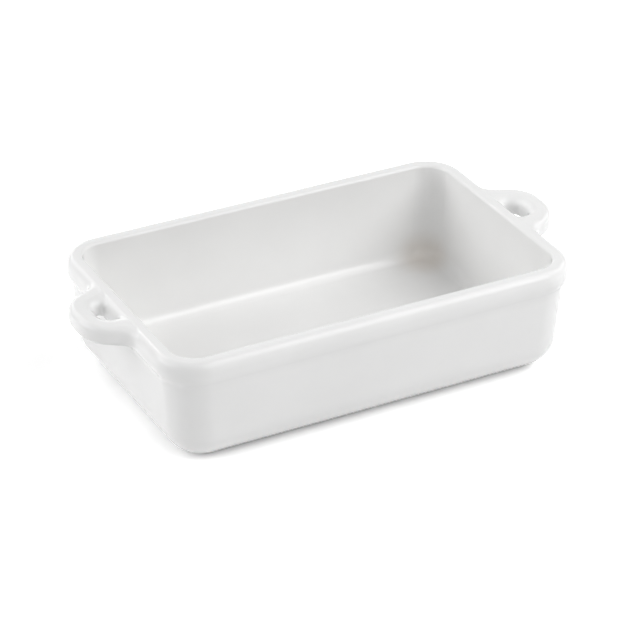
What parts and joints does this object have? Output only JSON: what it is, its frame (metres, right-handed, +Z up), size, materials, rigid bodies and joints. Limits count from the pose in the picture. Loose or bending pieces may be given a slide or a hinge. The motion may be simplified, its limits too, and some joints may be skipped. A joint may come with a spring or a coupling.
{
  "type": "lasagna dish",
  "caption": "Deep oblong glazed stoneware baking dish with rounded corners, a thick rim band, loop handles on the short sides and a bare clay foot ring.",
  "frame": {"origin": "centre of the dish's footprint on the table, the middle of the bounding box's bottom", "axes": "+X along the dish from the left handle to the right handle, +Y across it away from the viewer, +Z up out of the cavity"},
  "size_m": [0.3872, 0.209, 0.0879],
  "materials": {
    "white_glaze": "glossy white transparent-over-opacified glaze, fused to stoneware",
    "bare_clay": "matt, fired, unglazed stoneware with fine speckle"
  },
  "bodies": {
    "root": {"dish_body": "white_glaze", "left_handle": "white_glaze", "right_handle": "white_glaze", "foot_ring": "bare_clay"}
  },
  "joints": []
}
